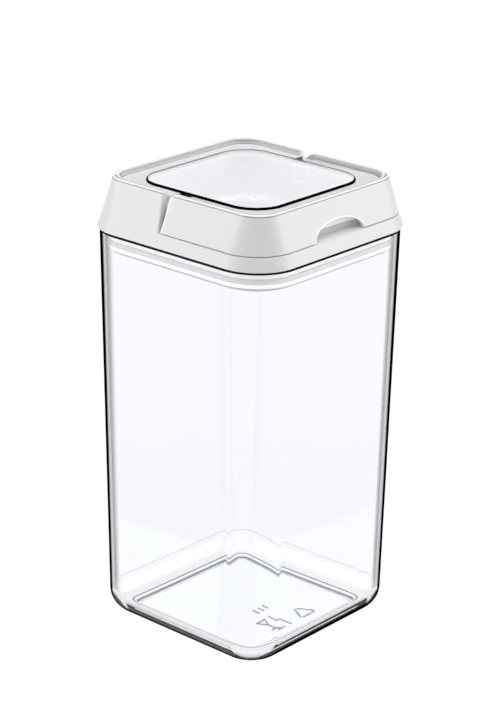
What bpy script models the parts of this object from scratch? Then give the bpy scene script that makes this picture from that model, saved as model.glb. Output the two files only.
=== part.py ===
"""Square food canister: a clear jar with a lift-off lid, whose half-ring lever squeezes a silicone seal.

Frame: metres, +Z up. The origin is the middle of the base, on the plane that the jar stands on.
-Y is the front, where the lever has its finger notch. Every outline is a square with rounded corners,
given as (half width, corner radius, height).
"""

import math

import bmesh
import bpy
from mathutils import Vector

MM = 0.001
FAR = 70                    # well outside the canister, for cutters

# Driving sizes, in millimetres.
CORNER_STEPS = 8            # facets in each rounded corner
ROUND_STEPS = 24            # facets of a pin or a hole

JAR_HALF_TOP = 52.5         # outside, at the rim
JAR_HALF_BASE = 48.5        # outside, where the tapered walls would meet the floor
JAR_HEIGHT = 184.4
JAR_RADIUS_TOP = 20.9
JAR_RADIUS_BASE = 15.8
JAR_WALL = 2.4
JAR_FILLET = 10.5           # outside, between wall and base
JAR_FLOOR = 3.6             # top of the inside floor
JAR_FLOOR_RADIUS = 7.4
FOOT_INNER = 37.0           # the foot ring stands between these two half widths
FOOT_OUTER = 38.6
PANEL_HALF = 35.4           # raised panel inside the foot ring
PANEL_RISE = 1.2
FOOT_ARC = 30.4             # how far from the middle the foot's corner arcs are centred
EDGE_BREAK = 0.3

LID_BOTTOM = 184.7          # the band rests on the jar's rim
BAND_TOP = 190.65
LEVER_BOTTOM = 191.05
DECK_TOP = 205.2
CREST_TOP = 207.4
LID_HALF_BOTTOM = 53.1
LID_RADIUS_BOTTOM = 20.3
BAND_HALF_TOP = 51.15
BAND_RADIUS_TOP = 18.9
LEVER_HALF_BOTTOM = 51.05
SHEET = 1.8                 # thickness of the lid's flat walls
SHELL_INNER = 49.0          # inside of the sloping rim, at its foot
SHELL_INNER_RADIUS = 16.7
CREST_PROFILE = (           # the crest from outside to inside: half width, corner radius, depth below its top
    (45.5, 11.0, 0.9),
    (45.1, 10.8, 0.3),
    (44.6, 10.8, 0.0),
    (43.6, 11.2, 0.0),
    (43.1, 10.8, 0.3),
    (42.9, 10.7, 0.9),
)
CREST_INNER = (42.9, 10.7)  # half width and corner radius of the rim's inner face
WELL_INNER = 36.4           # white wall of the viewing well under the top window
WELL_OUTER = 38.5
WELL_ARC = 21.6             # how far from the middle the well's corner arcs are centred
WELL_FOOT = 182.8
DECK_HALF = 42.5            # outside of the bezel's flat top
DECK_RADIUS = 10.4
LEDGE_HALF = 35.0           # ledge under the window's edge
SHOULDER_HALF = 41.0        # outside of the bezel's shoulder, which rests on the lid's floor
SHOULDER_RADIUS = 17.5
PLUG_ARC = 30.8             # how far from the middle the corner arcs of everything in the jar are centred
SKIRT_INNER = 46.9          # plug that enters the jar
SKIRT_OUTER = 49.3
SKIRT_BOTTOM = 180.8

WINDOW_TOP = 205.5
WINDOW_THICK = 2.3
FIT = 0.35                  # gap between a piece and its seat

PIVOT_Y = 3.0
PIVOT_Z = 202.0
PIN_RADIUS = 1.5
PIN_HOLE = 1.6
PIN_INNER_X = 37.4
BOSS_RADIUS = 2.8
BOSS_OUTER_X = 42.5
CHEEK_X = (42.9, 44.6)      # lever cheek, beside the pivot
CHEEK_HUB = 3.2
CHEEK_ROOT = ((-6.0, 205.6), (2.6, 205.6))
OPENING_Y = (1.2, 10.6)     # opening in the deck over each pivot
OPENING_INNER_X = 38.0
LEVER_REAR_Y = 5.6
LEVER_END_RADIUS = 6.3
LEVER_OPEN = math.radians(90)
FRAME_EDGE_FOOT = 6.25      # Y of the fixed rear rim's ends: they lean back from foot to top
FRAME_EDGE_TOP = 9.4

POST_X = (39.2, 42.3)       # pull post whose stud follows the cam slot
POST_Y = -1.0
POST_WIDTH = 5.0
POST_CLEARANCE = 0.4
STUD_RADIUS = 1.0
STUD_Z = 197.8
SLOT_RADIUS = 1.25
SLOT_WALL = 1.4
TENON_X = (39.9, 41.6)      # foot of the post, in a slot of the carrier
TENON_WIDTH = 3.0
TENON_CLEARANCE = 0.3
SEAL_TRAVEL = 1.2           # how far the carrier drops as the lever opens

FLANGE_TOP = 177.7
FLANGE_BOTTOM = 176.5
FLANGE_OUTER = 48.9
FLANGE_INNER = 38.0
FLANGE_INNER_RADIUS = 12.0
CARRIER_WALL = (44.8, 46.5)
CARRIER_TOP = 186.0
GASKET_TOP = 180.5
GASKET_BOTTOM = 178.0
GASKET_INNER = 46.8
GASKET_OUTER = 48.9
GASKET_LIP = 49.65
LOWER_WINDOW = (174.8, 176.2)
LOWER_WINDOW_HALF = 47.4
CLIP_OUT = 42.0             # clip centres, from the middle: across and along each side
CLIP_ALONG = 35.0
CLIP_SLOT = (2.1, 1.1)      # half length and half width

NOTCH_HALF = 15.7           # finger notch in the front of the lever
NOTCH_HEIGHT = 7.3
POCKET_ARC = 29.7           # radius of the curved wall behind the notch
POCKET_REACH = math.radians(26)
POCKET_BACK_Y = -43.0
POCKET_WALL = 1.5
POCKET_HEIGHT = 6.2

MARK_WIDTH = 0.7            # raised marks under the jar's floor
MARK_HEIGHT = 0.35


# ---------------------------------------------------------------- shapes

def rounded_square(half, radius, z):
    """Points of a square outline with rounded corners, counter-clockwise from above, in millimetres."""
    points = []
    for quarter in range(4):
        middle = math.radians(45 + 90 * quarter)
        centre_x = math.copysign(half - radius, math.cos(middle))
        centre_y = math.copysign(half - radius, math.sin(middle))
        for step in range(CORNER_STEPS + 1):
            angle = math.radians(90 * quarter + 90 * step / CORNER_STEPS)
            points.append((centre_x + radius * math.cos(angle), centre_y + radius * math.sin(angle), z))
    return points


def loft(outlines, ring):
    """A bmesh through the outlines: a closed ring if ring is true, or else a solid capped at both ends."""
    bm = bmesh.new()
    loops = [[bm.verts.new(Vector(p) * MM) for p in outline] for outline in outlines]
    pairs = list(zip(loops, loops[1:]))
    if ring:
        pairs.append((loops[-1], loops[0]))
    for lower, upper in pairs:
        count = len(lower)
        for i in range(count):
            j = (i + 1) % count
            bm.faces.new((lower[i], lower[j], upper[j], upper[i]))
    if not ring:
        bm.faces.new(loops[0])
        bm.faces.new(loops[-1])
    bmesh.ops.recalc_face_normals(bm, faces=bm.faces)
    return bm


def section_loft(section, ring):
    return loft([rounded_square(*station) for station in section], ring)


def nested(arc_centre, half, z):
    """A station whose corner arcs are centred arc_centre from the middle, like its neighbours'."""
    return (half, half - arc_centre, z)


def add_object(name, bm, material=None, helper=False):
    """An object that holds the bmesh. A helper is left out of the build."""
    mesh = bpy.data.meshes.new(name)
    bm.to_mesh(mesh)
    bm.free()
    mesh.shade_smooth()
    mesh.set_sharp_from_angle(angle=math.radians(30))
    obj = bpy.data.objects.new(name, mesh)
    bpy.context.scene.collection.objects.link(obj)
    if material is not None:
        mesh.materials.append(material)
    if helper:
        obj.hide_render = True
        obj.display_type = "WIRE"
    return obj


def prism(polygon, axis, low, high):
    """A bmesh: the polygon, given in the other two coordinates, swept along the "x", "y" or "z" axis."""
    place = {
        "x": lambda u, v, w: (w, u, v),
        "y": lambda u, v, w: (u, w, v),
        "z": lambda u, v, w: (u, v, w),
    }[axis]
    return loft([[place(u, v, w) for u, v in polygon] for w in (low, high)], ring=False)


def box_polygon(u, v):
    return [(u[0], v[0]), (u[1], v[0]), (u[1], v[1]), (u[0], v[1])]


def circle_polygon(u, v, radius, steps=ROUND_STEPS):
    turns = [math.tau * k / steps for k in range(steps)]
    return [(u + radius * math.cos(t), v + radius * math.sin(t)) for t in turns]


def obround_polygon(u, v, half_length, half_width, along_u, steps=8):
    """A slot shape: a rectangle with two half-round ends."""
    points = []
    for end in (1, -1):
        for k in range(steps + 1):
            angle = math.pi * k / steps - math.pi / 2
            across = end * (half_length - half_width + half_width * math.cos(angle))
            up = end * half_width * math.sin(angle)
            points.append((u + across, v + up) if along_u else (u - up, v + across))
    return points


def hull_polygon(points):
    """The convex outline round a set of points, counter-clockwise."""
    ordered = sorted(set(points))

    def half_hull(sequence):
        kept = []
        for p in sequence:
            while len(kept) > 1:
                (ax, ay), (bx, by) = kept[-2], kept[-1]
                if (bx - ax) * (p[1] - ay) - (by - ay) * (p[0] - ax) > 0:
                    break
                kept.pop()
            kept.append(p)
        return kept[:-1]

    return half_hull(ordered) + half_hull(reversed(ordered))


def boolean(obj, other, operation):
    modifier = obj.modifiers.new(operation.title() + " " + other.name, "BOOLEAN")
    modifier.operation = operation
    modifier.object = other
    return modifier


def cut(obj, name, bm):
    boolean(obj, add_object(name, bm, helper=True), "DIFFERENCE")


def join(obj, name, bm):
    helper = add_object(name, bm, helper=True)
    boolean(obj, helper, "UNION")
    return helper


def x_span(side, near, far):
    """The low and high X of a piece that lies between near and far from the middle, on one side."""
    return sorted((side * near, side * far))


# ---------------------------------------------------------------- materials

def plastic(name, colour, roughness, transmission=0.0):
    material = bpy.data.materials.new(name)
    material.use_nodes = True
    shader = material.node_tree.nodes["Principled BSDF"]
    shader.inputs["Base Color"].default_value = (*colour, 1.0)
    shader.inputs["Roughness"].default_value = roughness
    shader.inputs["Metallic"].default_value = 0.0
    shader.inputs["Transmission Weight"].default_value = transmission
    return material


# ---------------------------------------------------------------- jar

def jar_half(z):
    """Half width of the jar's tapered outside at a height."""
    return JAR_HALF_BASE + (JAR_HALF_TOP - JAR_HALF_BASE) * z / JAR_HEIGHT


def jar_radius(z):
    return JAR_RADIUS_BASE + (JAR_RADIUS_TOP - JAR_RADIUS_BASE) * z / JAR_HEIGHT


def fillet(low, high, steps=6):
    """Stations of a quarter-round between a floor outline and a wall outline, floor first."""
    stations = []
    for k in range(steps + 1):
        turn = math.pi / 2 * k / steps
        half = low[0] + (high[0] - low[0]) * math.sin(turn)
        radius = low[1] + (high[1] - low[1]) * math.sin(turn)
        stations.append((half, radius, low[2] + (high[2] - low[2]) * (1 - math.cos(turn))))
    return stations


def stroke(start, end):
    """The outline, in X and Y, of a straight raised line with square ends."""
    direction = (Vector(end) - Vector(start)).normalized()
    along = direction * MARK_WIDTH / 2
    across = Vector((-direction.y, direction.x)) * MARK_WIDTH / 2
    first, last = Vector(start) - along, Vector(end) + along
    return [tuple(first - across), tuple(last - across), tuple(last + across), tuple(first + across)]


def floor_marks():
    """Plain marks near the front: a triangle of three bars, a goblet beside a bar, and three short dashes."""
    left, right, apex = Vector((4.9, -28.6)), Vector((15.2, -28.6)), Vector((10.0, -19.6))
    gap = 0.14
    strokes = []
    for start, end in ((left, right), (right, apex), (apex, left)):
        strokes.append(stroke(start.lerp(end, gap), start.lerp(end, 1 - gap)))
    stem_top, stem_foot = (-9.2, -23.6), (-9.2, -28.6)
    rim_left, rim_right = (-12.2, -18.6), (-6.2, -18.6)
    strokes += [stroke(rim_left, rim_right), stroke(rim_left, stem_top), stroke(rim_right, stem_top)]
    strokes += [stroke(stem_top, stem_foot), stroke((-11.4, -28.6), (-7.0, -28.6))]
    strokes.append(stroke((-2.6, -18.6), (-2.6, -28.6)))
    for x in (-3.4, 0.2, 3.8):
        strokes.append(stroke((x, -8.8), (x, -12.4)))
    return strokes


def make_jar(material):
    inner_half, inner_radius = JAR_HALF_TOP - JAR_WALL, JAR_RADIUS_TOP - JAR_WALL
    wall_low = (jar_half(JAR_FILLET), jar_radius(JAR_FILLET), JAR_FILLET)
    inner_foot = JAR_FILLET + 1.0
    inner_wall = (jar_half(inner_foot) - JAR_WALL, jar_radius(inner_foot) - JAR_WALL, inner_foot)
    floor_half = inner_wall[0] - (inner_foot - JAR_FLOOR)
    section = [
        nested(FOOT_ARC, PANEL_HALF, PANEL_RISE),
        nested(FOOT_ARC, FOOT_INNER, 0.0),
        *fillet(nested(FOOT_ARC, FOOT_OUTER, 0.0), wall_low),
        (JAR_HALF_TOP, JAR_RADIUS_TOP, JAR_HEIGHT - EDGE_BREAK),
        (JAR_HALF_TOP - EDGE_BREAK, JAR_RADIUS_TOP - EDGE_BREAK, JAR_HEIGHT),
        (inner_half + EDGE_BREAK, inner_radius + EDGE_BREAK, JAR_HEIGHT),
        (inner_half, inner_radius, JAR_HEIGHT - EDGE_BREAK),
        *reversed(fillet((floor_half, JAR_FLOOR_RADIUS, JAR_FLOOR), inner_wall)),
    ]
    jar = add_object("jar_body", section_loft(section, ring=False), material)
    for number, outline in enumerate(floor_marks(), 1):
        low = PANEL_RISE - MARK_HEIGHT
        join(jar, f"floor_mark_{number}", prism(outline, "z", low, low + 2 * MARK_HEIGHT))
    return jar


# ---------------------------------------------------------------- lid

def shell_section(foot, inside):
    """The sloping outside and the rounded crest that the lever and the rear of the frame share."""
    crest = [(half, radius, CREST_TOP - depth) for half, radius, depth in CREST_PROFILE]
    return [foot] + crest + inside


def pivot_cylinder(radius, side, near, far):
    return prism(circle_polygon(PIVOT_Y, PIVOT_Z, radius), "x", *x_span(side, near, far))


def finger_pocket_wall():
    """A low curved wall behind the finger notch, that closes the pocket off."""
    steps = 10
    angles = [-POCKET_REACH + 2 * POCKET_REACH * k / steps for k in range(steps + 1)]
    centre = POCKET_BACK_Y - POCKET_ARC

    def arc(radius):
        return [(radius * math.sin(t), centre + radius * math.cos(t)) for t in angles]

    outline = arc(POCKET_ARC) + arc(POCKET_ARC + POCKET_WALL)[::-1]
    return prism(outline, "z", BAND_TOP - 0.5, BAND_TOP + POCKET_HEIGHT)


def make_frame(material):
    """The lid's main moulding: band, floor, plug skirt and the fixed rear half of the sloping rim."""
    floor_bottom = BAND_TOP - SHEET
    section = [
        (LID_HALF_BOTTOM, LID_RADIUS_BOTTOM, LID_BOTTOM),
        (BAND_HALF_TOP, BAND_RADIUS_TOP, BAND_TOP),
        nested(WELL_ARC, WELL_OUTER + FIT, BAND_TOP),
        nested(WELL_ARC, WELL_OUTER + FIT, floor_bottom),
        nested(PLUG_ARC, SKIRT_INNER, floor_bottom),
        nested(PLUG_ARC, SKIRT_INNER, SKIRT_BOTTOM),
        nested(PLUG_ARC, SKIRT_OUTER - 0.1, SKIRT_BOTTOM),
        nested(PLUG_ARC, SKIRT_OUTER, LID_BOTTOM),
    ]
    frame = add_object("lid_frame", section_loft(section, ring=True), material)

    foot = BAND_TOP - 0.3
    rear_inside = [
        (*CREST_INNER, DECK_TOP - SHEET),
        (44.6, 11.6, DECK_TOP - SHEET),
        (SHELL_INNER, SHELL_INNER_RADIUS, foot),
    ]
    rear_section = shell_section((BAND_HALF_TOP + 0.05, BAND_RADIUS_TOP, foot), rear_inside)
    rear = add_object("rear_shell_shape", section_loft(rear_section, ring=True), helper=True)
    front_side = [
        (-FAR, foot - 1),
        (FRAME_EDGE_FOOT, foot - 1),
        (FRAME_EDGE_FOOT, BAND_TOP),
        (FRAME_EDGE_TOP, CREST_TOP),
        (FRAME_EDGE_TOP + 0.2, CREST_TOP + 3),
        (-FAR, CREST_TOP + 3),
    ]
    cut(rear, "rear_shell_front_cut", prism(front_side, "x", -FAR, FAR))
    boolean(frame, rear, "UNION")
    join(frame, "finger_pocket_shape", finger_pocket_wall())
    post_end = POST_WIDTH / 2 + POST_CLEARANCE
    post_slot = box_polygon((POST_Y - post_end, POST_Y + post_end), (floor_bottom - 1, BAND_TOP + 1))
    for side, label in ((-1, "left"), (1, "right")):
        span = x_span(side, POST_X[0] - FIT, POST_X[1] + POST_CLEARANCE)
        cut(frame, f"post_slot_{label}", prism(post_slot, "x", *span))
    return frame


def make_bezel(material):
    """The inner moulding: the flat deck round the window, the white well under it, and the pivot bosses."""
    ledge = WINDOW_TOP - WINDOW_THICK - 0.3
    shoulder_bottom = BAND_TOP + 0.3
    section = [
        (DECK_HALF, DECK_RADIUS, DECK_TOP),
        nested(WELL_ARC, WELL_INNER + FIT, DECK_TOP),
        nested(WELL_ARC, WELL_INNER + FIT, ledge),
        nested(WELL_ARC, LEDGE_HALF, ledge),
        nested(WELL_ARC, LEDGE_HALF, ledge - 1.1),
        nested(WELL_ARC, WELL_INNER, ledge - 2.3),
        nested(WELL_ARC, WELL_INNER, WELL_FOOT),
        nested(WELL_ARC, WELL_OUTER, WELL_FOOT),
        nested(WELL_ARC, WELL_OUTER, shoulder_bottom),
        (SHOULDER_HALF, SHOULDER_RADIUS, shoulder_bottom),
        (SHOULDER_HALF, SHOULDER_RADIUS, shoulder_bottom + SHEET),
        nested(WELL_ARC, WELL_OUTER, shoulder_bottom + SHEET),
        nested(WELL_ARC, WELL_OUTER, DECK_TOP - SHEET),
        (DECK_HALF, DECK_RADIUS, DECK_TOP - SHEET),
    ]
    bezel = add_object("window_bezel", section_loft(section, ring=True), material)
    post_end = POST_WIDTH / 2 + POST_CLEARANCE
    relief = box_polygon((POST_Y - post_end, POST_Y + post_end), (BAND_TOP - 1, BAND_TOP + 4))
    opening = box_polygon(OPENING_Y, (DECK_TOP - SHEET - 0.4, DECK_TOP + 1))
    outside = DECK_HALF + 0.5
    for side, label in ((-1, "left"), (1, "right")):
        cut(bezel, f"pivot_opening_{label}", prism(opening, "x", *x_span(side, OPENING_INNER_X, outside)))
        cut(bezel, f"post_relief_{label}", prism(relief, "x", *x_span(side, POST_X[0] - FIT, outside)))
        join(bezel, f"pivot_boss_{label}", pivot_cylinder(BOSS_RADIUS, side, WELL_OUTER - 0.8, BOSS_OUTER_X))
        cut(bezel, f"pin_bore_{label}", pivot_cylinder(PIN_HOLE, side, PIN_INNER_X - 0.2, CHEEK_X[1] + 0.4))
    return bezel


def cam_path(steps=16, over_travel=math.radians(2)):
    """Where the follower stud runs in the lever, seen with the lever closed: (y, z) for each lever angle.

    The stud only moves straight down, by SEAL_TRAVEL over the lever's opening, so turning its
    place back by the lever's angle gives the slot.
    """
    path = []
    for k in range(steps + 1):
        angle = -over_travel + (LEVER_OPEN + 2 * over_travel) * k / steps
        ahead = POST_Y - PIVOT_Y
        up = STUD_Z - PIVOT_Z - SEAL_TRAVEL * angle / LEVER_OPEN
        turned_y = ahead * math.cos(angle) - up * math.sin(angle)
        turned_z = ahead * math.sin(angle) + up * math.cos(angle)
        path.append((PIVOT_Y + turned_y, PIVOT_Z + turned_z))
    return path


def slot_polygon(path, radius, end_steps=8):
    """The outline of a round-ended slot of constant width along a path."""
    headings = []
    for k in range(len(path)):
        (ay, az), (by, bz) = path[max(k - 1, 0)], path[min(k + 1, len(path) - 1)]
        headings.append(math.atan2(bz - az, by - ay))

    def beside(k, turn):
        (y, z), heading = path[k], headings[k] + turn
        return (y + radius * math.cos(heading), z + radius * math.sin(heading))

    last = len(path) - 1
    right = [beside(k, -math.pi / 2) for k in range(last + 1)]
    far_end = [beside(last, -math.pi / 2 + math.pi * k / end_steps) for k in range(1, end_steps)]
    left = [beside(k, math.pi / 2) for k in range(last, -1, -1)]
    near_end = [beside(0, math.pi / 2 + math.pi * k / end_steps) for k in range(1, end_steps)]
    return right + far_end + left + near_end


def cheek_polygon():
    """The lever's cheek: a hub round the pivot, the cam round its slot, and a root in the crest."""
    points = circle_polygon(PIVOT_Y, PIVOT_Z, CHEEK_HUB)
    for y, z in cam_path(steps=6):
        points += circle_polygon(y, z, SLOT_RADIUS + SLOT_WALL, 16)
    return hull_polygon(points + list(CHEEK_ROOT))


def lever_rear_polygon():
    """Everything behind the lever, in Y and Z: the lever's end is upright, with a rounded top."""
    arc_y = LEVER_REAR_Y - LEVER_END_RADIUS
    arc_z = CREST_TOP - LEVER_END_RADIUS
    steps = 8
    arc = []
    for k in range(steps + 1):
        turn = math.pi / 2 * k / steps
        arc.append((arc_y + LEVER_END_RADIUS * math.cos(turn), arc_z + LEVER_END_RADIUS * math.sin(turn)))
    below, above = LEVER_BOTTOM - 2, CREST_TOP + 3
    chamfer = 0.6
    foot_y = LEVER_REAR_Y - chamfer
    foot = [(foot_y, below), (foot_y, LEVER_BOTTOM), (LEVER_REAR_Y, LEVER_BOTTOM + chamfer)]
    return foot + arc + [(arc_y, above), (FAR, above), (FAR, below)]


def notch_polygon(steps=16, roundness=2.0):
    """The arch of the finger notch, in X and Z."""
    arch = []
    for k in range(steps + 1):
        x = NOTCH_HALF * math.cos(math.pi * k / steps)
        rise = NOTCH_HEIGHT * (1 - abs(x / NOTCH_HALF) ** roundness) ** (1 / roundness)
        arch.append((x, LEVER_BOTTOM - 0.4 + rise))
    below = LEVER_BOTTOM - 3
    return arch + [(-NOTCH_HALF, below), (NOTCH_HALF, below)]


def make_lever(material):
    inside = [
        (*CREST_INNER, DECK_TOP - 1.0),
        (44.4, 11.4, DECK_TOP - 1.0),
        (SHELL_INNER - 0.05, SHELL_INNER_RADIUS, LEVER_BOTTOM),
    ]
    section = shell_section((LEVER_HALF_BOTTOM, BAND_RADIUS_TOP - 0.1, LEVER_BOTTOM), inside)
    lever = add_object("lever_handle", section_loft(section, ring=True), material)
    cut(lever, "lever_rear_cut", prism(lever_rear_polygon(), "x", -FAR, FAR))
    cut(lever, "finger_notch", prism(notch_polygon(), "y", -FAR, POCKET_BACK_Y - 1))
    slot = slot_polygon(cam_path(), SLOT_RADIUS)
    for side, label in ((-1, "left"), (1, "right")):
        join(lever, f"cheek_{label}", prism(cheek_polygon(), "x", *x_span(side, *CHEEK_X)))
        cut(lever, f"lever_bore_{label}", pivot_cylinder(PIN_HOLE, side, CHEEK_X[0] - 1, CHEEK_X[1] + 0.4))
        cut(lever, f"cam_slot_{label}", prism(slot, "x", *x_span(side, CHEEK_X[0] - 1, CHEEK_X[1] + 0.4)))
    return lever


def make_top_window(material):
    bottom = WINDOW_TOP - WINDOW_THICK
    section = [
        nested(WELL_ARC, WELL_INNER, bottom),
        nested(WELL_ARC, WELL_INNER, WINDOW_TOP - EDGE_BREAK),
        nested(WELL_ARC, WELL_INNER - EDGE_BREAK, WINDOW_TOP),
    ]
    return add_object("top_window", section_loft(section, ring=False), material)


def make_hinge_pin(side, label, material):
    polygon = circle_polygon(0, 0, PIN_RADIUS)
    cylinder = prism(polygon, "x", *x_span(side, PIN_INNER_X, CHEEK_X[1]))
    pin = add_object(f"hinge_pin_{label}", cylinder, material)
    pin.location = (0, PIVOT_Y * MM, PIVOT_Z * MM)
    return pin


# ---------------------------------------------------------------- seal

def make_gasket(material):
    middle = (GASKET_TOP + GASKET_BOTTOM) / 2
    profile = [
        (GASKET_INNER, GASKET_TOP),
        (GASKET_OUTER, GASKET_TOP),
        (GASKET_OUTER + 0.5, GASKET_TOP - 0.4),
        (GASKET_LIP, middle),
        (GASKET_OUTER + 0.5, GASKET_BOTTOM + 0.4),
        (GASKET_OUTER, GASKET_BOTTOM),
        (GASKET_INNER, GASKET_BOTTOM),
    ]
    section = [nested(PLUG_ARC, half, z) for half, z in profile]
    return add_object("silicone_gasket", section_loft(section, ring=True), material)


def clip_places():
    """The eight clips, two round each corner: (x, y, whether the clip's length runs along X)."""
    places = []
    for sx in (-1, 1):
        for sy in (-1, 1):
            places.append((sx * CLIP_OUT, sy * CLIP_ALONG, False))
            places.append((sx * CLIP_ALONG, sy * CLIP_OUT, True))
    return places


def clip_slot(x, y, along_x, low, high):
    return prism(obround_polygon(x, y, *CLIP_SLOT, along_x), "z", low, high)


def post_polygon():
    """A pull post seen from the side: upright, with a half-round top round its stud."""
    half = POST_WIDTH / 2
    steps = 8
    top = []
    for k in range(steps + 1):
        turn = math.pi * k / steps
        top.append((POST_Y + half * math.cos(turn), STUD_Z + half * math.sin(turn) * 0.8))
    foot = FLANGE_TOP + 0.3
    return top + [(POST_Y - half, foot), (POST_Y + half, foot)]


def make_pull_post(side, label, material):
    """A post with a stud for the lever's cam slot and a tenon that snaps through the carrier."""
    post = add_object(f"pull_post_{label}", prism(post_polygon(), "x", *x_span(side, *POST_X)), material)
    stud_circle = circle_polygon(POST_Y, STUD_Z, STUD_RADIUS, 16)
    stud = prism(stud_circle, "x", *x_span(side, POST_X[1] - 0.8, CHEEK_X[1]))
    join(post, f"stud_{label}", stud)
    half = TENON_WIDTH / 2
    tenon = box_polygon((POST_Y - half, POST_Y + half), (FLANGE_BOTTOM + 0.1, FLANGE_TOP + 1))
    join(post, f"tenon_{label}", prism(tenon, "x", *x_span(side, *TENON_X)))
    return post


def make_carrier(material):
    """The ring that lifts the gasket: a flange under it and a wall behind it."""
    wall_in, wall_out = CARRIER_WALL
    section = [
        nested(PLUG_ARC, FLANGE_OUTER, FLANGE_TOP),
        nested(PLUG_ARC, FLANGE_OUTER, FLANGE_BOTTOM),
        (FLANGE_INNER, FLANGE_INNER_RADIUS, FLANGE_BOTTOM),
        (FLANGE_INNER, FLANGE_INNER_RADIUS, FLANGE_TOP),
        nested(PLUG_ARC, wall_in, FLANGE_TOP),
        nested(PLUG_ARC, wall_in, CARRIER_TOP),
        nested(PLUG_ARC, wall_out, CARRIER_TOP),
        nested(PLUG_ARC, wall_out, FLANGE_TOP),
    ]
    carrier = add_object("seal_carrier", section_loft(section, ring=True), material)
    half = TENON_WIDTH / 2 + TENON_CLEARANCE
    mortise = box_polygon((POST_Y - half, POST_Y + half), (FLANGE_BOTTOM - 1, FLANGE_TOP + 1))
    for side, label in ((-1, "left"), (1, "right")):
        near, far = TENON_X[0] - TENON_CLEARANCE, TENON_X[1] + TENON_CLEARANCE
        slot = prism(mortise, "x", *x_span(side, near, far))
        cut(carrier, f"tenon_slot_{label}", slot)
    for number, place in enumerate(clip_places(), 1):
        cut(carrier, f"carrier_clip_slot_{number}", clip_slot(*place, FLANGE_BOTTOM - 1, FLANGE_TOP + 1))
    return carrier


def make_lower_window(material):
    low, high = LOWER_WINDOW
    section = [
        nested(PLUG_ARC, LOWER_WINDOW_HALF - EDGE_BREAK, low),
        nested(PLUG_ARC, LOWER_WINDOW_HALF, low + EDGE_BREAK),
        nested(PLUG_ARC, LOWER_WINDOW_HALF, high),
    ]
    window = add_object("lower_window", section_loft(section, ring=False), material)
    for number, place in enumerate(clip_places(), 1):
        cut(window, f"window_clip_slot_{number}", clip_slot(*place, low - 1, high + 1))
    return window


def make_clip(number, place, material):
    """A snap clip: a flat head under the lower window, a shank through both slots and a barb on top."""
    x, y, along_x = place
    head_top = LOWER_WINDOW[0] - 0.3
    barb_bottom = FLANGE_TOP + 0.3
    stations = [
        (3.0, 1.5, head_top - 1.1),
        (3.2, 1.6, head_top - 0.5),
        (3.2, 1.6, head_top),
        (1.8, 0.8, head_top),
        (1.8, 0.8, barb_bottom),
        (2.3, 1.3, barb_bottom),
        (1.8, 0.9, barb_bottom + 0.9),
    ]
    outlines = []
    for half_length, half_width, z in stations:
        outlines.append([(u, v, z) for u, v in obround_polygon(0, 0, half_length, half_width, along_x)])
    clip = add_object(f"snap_clip_{number}", loft(outlines, ring=False), material)
    clip.location = (x * MM, y * MM, 0)
    return clip


# ---------------------------------------------------------------- build

def build():
    for obj in list(bpy.data.objects):
        bpy.data.objects.remove(obj)
    clear = plastic("clear_plastic", (0.96, 0.97, 0.98), 0.03, transmission=1.0)
    white = plastic("white_plastic", (0.86, 0.86, 0.86), 0.35)
    silicone = plastic("silicone", (0.80, 0.81, 0.82), 0.5, transmission=0.3)
    make_jar(clear)
    make_frame(white)
    make_bezel(white)
    make_lever(white)
    make_top_window(clear)
    make_gasket(silicone)
    make_carrier(white)
    make_lower_window(clear)
    for side, label in ((-1, "left"), (1, "right")):
        make_hinge_pin(side, label, white)
        make_pull_post(side, label, white)
    for number, place in enumerate(clip_places(), 1):
        make_clip(number, place, white)


build()
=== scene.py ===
"""Looks of the square food canister: clear jar, white lever lid, glass-clear windows and a pale studio.

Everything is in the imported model's frame: +Z up, the origin in the middle of the base, and -Y the
front with the lever's finger notch. Sizes are millimetres until a mesh is made, then metres.
A station is (half width, corner radius, height): one rounded square of a lofted piece.
"""

import math

import bmesh
import bpy
from mathutils import Matrix, Vector


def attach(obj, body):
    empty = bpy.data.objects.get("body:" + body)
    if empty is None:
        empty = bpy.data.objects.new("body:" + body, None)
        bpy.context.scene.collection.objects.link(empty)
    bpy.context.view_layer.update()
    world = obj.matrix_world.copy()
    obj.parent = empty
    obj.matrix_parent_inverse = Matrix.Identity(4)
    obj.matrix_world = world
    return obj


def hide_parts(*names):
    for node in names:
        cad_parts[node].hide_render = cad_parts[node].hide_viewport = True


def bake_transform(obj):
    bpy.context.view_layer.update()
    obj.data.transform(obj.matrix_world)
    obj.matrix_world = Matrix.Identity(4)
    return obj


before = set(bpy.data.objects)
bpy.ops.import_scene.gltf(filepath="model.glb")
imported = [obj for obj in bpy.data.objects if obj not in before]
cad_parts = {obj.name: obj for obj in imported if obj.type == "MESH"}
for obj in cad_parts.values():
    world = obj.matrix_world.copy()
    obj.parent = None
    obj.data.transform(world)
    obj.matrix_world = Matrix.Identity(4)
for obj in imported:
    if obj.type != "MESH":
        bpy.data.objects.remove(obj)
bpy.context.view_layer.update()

MM = 0.001
CORNER_STEPS = 24

# Heights and half widths that the lid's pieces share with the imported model.
LID_BOTTOM = 184.7
BAND_TOP = 190.65
LEVER_BOTTOM = 191.05
DECK_TOP = 205.2
CREST_TOP = 207.4
SHEET = 1.8
WINDOW_TOP = 205.9
WINDOW_THICK = 2.7
WELL_HALF = 36.4
WELL_ARC = 21.6             # how far from the middle the well's corner arcs are centred
PLUG_ARC = 30.8             # the same for everything that enters the jar
FIT = 0.35
SKIRT_BOTTOM = 180.8
PIVOT_Y = 3.0
PIVOT_Z = 202.0
PIN_HOLE = 1.6
BOSS_RADIUS = 2.8
OPENING_Y = (0.2, 7.2)
OPENING_X = (36.55, 43.0)
OPENING_BOTTOM = 198.0
POST_SLOT_Y = (-3.9, 1.9)
POST_SLOT_X = (38.85, 42.7)


# ---------------------------------------------------------------- shapes

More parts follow.
